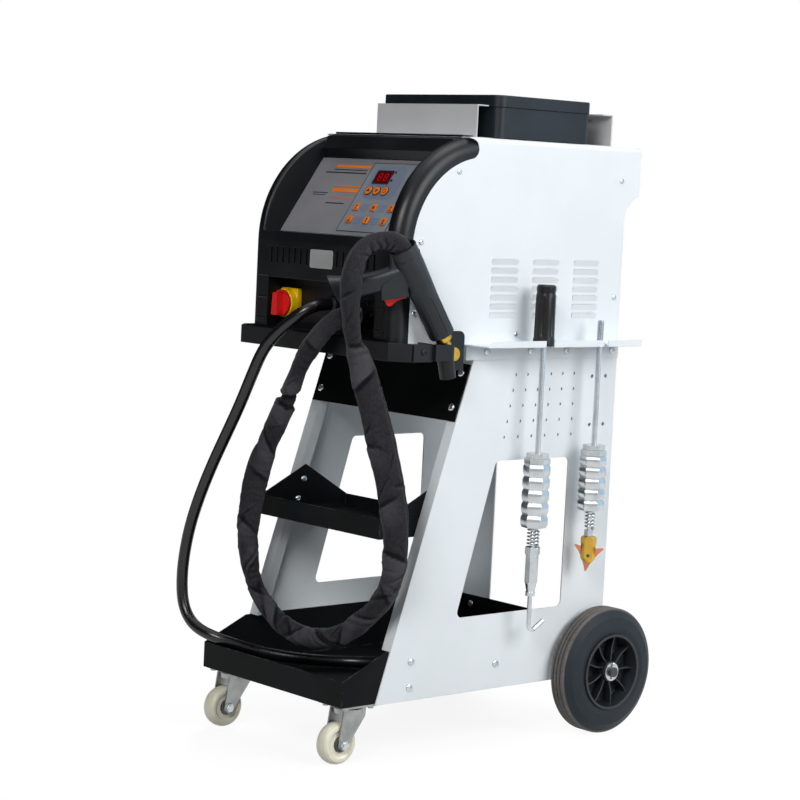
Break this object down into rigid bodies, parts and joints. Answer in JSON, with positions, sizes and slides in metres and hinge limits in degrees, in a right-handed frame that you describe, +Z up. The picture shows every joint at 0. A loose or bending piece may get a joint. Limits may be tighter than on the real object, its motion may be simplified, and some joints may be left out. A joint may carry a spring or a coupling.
{
  "type": "dent pulling welder",
  "caption": "Dent pulling stud welder on a sheet-metal trolley with rear wheels and swivel casters, slide-hammer pullers in a side rack, a gun in a holder, an earth cable and a tool box on top.",
  "frame": {"origin": "on the floor, under the middle of the machine's own box without its cords and the gun", "axes": "+Z up, -Y to the front (control panel), +X to the right seen from the front (tool rack side)"},
  "size_m": [0.4537, 0.6643, 0.993],
  "materials": {
    "white_paint": "satin powder coat",
    "black_paint": "satin powder coat",
    "grey_sheet": "satin",
    "black_plastic": "fine moulded grain",
    "panel_grey": "matt film",
    "key_grey": "matt film with orange keys",
    "display_red": "dark red window",
    "yellow_plastic": "gloss",
    "red_plastic": "gloss",
    "zinc": "zinc plated",
    "brass": "turned",
    "copper": "copper sheet",
    "tyre_rubber": "matt",
    "nylon": "cream nylon",
    "sleeve_cloth": "woven",
    "cable_rubber": "smooth",
    "core_steel": "varnished laminations",
    "aluminium": "extruded",
    "board_green": "solder mask"
  },
  "bodies": {
    "machine": {"side_panel_right": "white_paint", "side_panel_left": "white_paint", "bottom_tray": "black_paint", "middle_shelf": "black_paint", "upper_front_panel": "black_paint", "tool_rack": "white_paint", "screws": "zinc", "rear_axle": "zinc", "axle_hardware": "zinc", "caster_plates": "zinc", "machine_base": "white_paint", "machine_cover": "white_paint", "rear_panel": "white_paint", "front_bezel": "black_plastic", "control_panel": "panel_grey", "key_film": "key_grey", "display_window": "display_red", "front_ledge": "black_plastic", "switch_base": "yellow_plastic", "cable_glands": "black_plastic", "gun_body": "black_plastic", "gun_nozzle": "brass", "gun_holder": "black_plastic", "earth_cable": "cable_rubber", "earth_coil": "cable_rubber", "earth_clamp": "zinc", "torch_sleeve": "sleeve_cloth", "toolbox_bracket": "grey_sheet", "toolbox_body": "black_plastic", "hook_rod": "zinc", "hook_grip": "black_plastic", "hook_spring": "zinc", "hook_chuck": "zinc", "hook": "zinc", "claw_rod": "zinc", "claw_spring": "zinc", "claw_head": "brass", "claw": "copper", "transformer_core": "core_steel", "transformer_windings": "copper", "thyristor_block": "aluminium", "control_board": "board_green", "fan_frame": "black_plastic"},
    "caster_right": {"caster_fork_right": "zinc", "caster_axle_right": "zinc"},
    "caster_left": {"caster_fork_left": "zinc", "caster_axle_left": "zinc"},
    "caster_roller_right": {"caster_wheel_right": "nylon"},
    "caster_roller_left": {"caster_wheel_left": "nylon"},
    "wheel_right": {"tyre_right": "tyre_rubber", "rim_right": "black_plastic"},
    "wheel_left": {"tyre_left": "tyre_rubber", "rim_left": "black_plastic"},
    "main_switch": {"switch_knob": "red_plastic"},
    "trigger": {"gun_trigger": "red_plastic"},
    "lid": {"toolbox_lid": "black_plastic"},
    "jaw": {"clamp_jaw": "zinc"},
    "hook_hammer": {"hook_weight": "zinc"},
    "claw_hammer": {"claw_weight": "zinc"},
    "fan": {"fan_rotor": "black_plastic"}
  },
  "joints": [
    {"name": "caster_swivel_right", "type": "hinge", "parent": "machine", "child": "caster_right", "pos_m": [0.1372, -0.264, 0.08], "axis": [0, 0, 1], "continuous": true},
    {"name": "caster_swivel_left", "type": "hinge", "parent": "machine", "child": "caster_left", "pos_m": [-0.1372, -0.264, 0.08], "axis": [0, 0, 1], "continuous": true},
    {"name": "caster_roll_right", "type": "hinge", "parent": "caster_right", "child": "caster_roller_right", "pos_m": [0.1372, -0.2844, 0.0315], "axis": [1, 0, 0], "continuous": true},
    {"name": "caster_roll_left", "type": "hinge", "parent": "caster_left", "child": "caster_roller_left", "pos_m": [-0.1372, -0.2844, 0.0315], "axis": [1, 0, 0], "continuous": true},
    {"name": "wheel_roll_right", "type": "hinge", "parent": "machine", "child": "wheel_right", "pos_m": [0.191, 0.216, 0.1], "axis": [1, 0, 0], "continuous": true},
    {"name": "wheel_roll_left", "type": "hinge", "parent": "machine", "child": "wheel_left", "pos_m": [-0.191, 0.216, 0.1], "axis": [1, 0, 0], "continuous": true},
    {"name": "switch_turn", "type": "hinge", "parent": "machine", "child": "main_switch", "pos_m": [-0.104, -0.2265, 0.6617], "axis": [0, 1, 0], "range_deg": [0, 90]},
    {"name": "trigger_pull", "type": "slide", "parent": "machine", "child": "trigger", "axis": [0.0132, -0.5705, 0.8212], "range_m": [0, 0.004], "stiffness_N_per_m": 400, "springref_m": -0.002},
    {"name": "lid_hinge", "type": "hinge", "parent": "machine", "child": "lid", "pos_m": [0, 0.1924, 0.975], "axis": [-1, 0, 0], "range_deg": [0, 100]},
    {"name": "jaw_pivot", "type": "hinge", "parent": "machine", "child": "jaw", "pos_m": [-0.062, 0.178, 0.104], "axis": [0, 0, -1], "range_deg": [0, 14], "stiffness_Nm_per_rad": 2, "springref_deg": -11.46},
    {"name": "hook_hammer_slide", "type": "slide", "parent": "machine", "child": "hook_hammer", "axis": [0, 0, 1], "range_m": [0, 0.16]},
    {"name": "claw_hammer_slide", "type": "slide", "parent": "machine", "child": "claw_hammer", "axis": [0, 0, 1], "range_m": [0, 0.152]},
    {"name": "fan_spin", "type": "hinge", "parent": "machine", "child": "fan", "pos_m": [0.07, 0.22, 0.71], "axis": [0, 1, 0], "continuous": true}
  ]
}
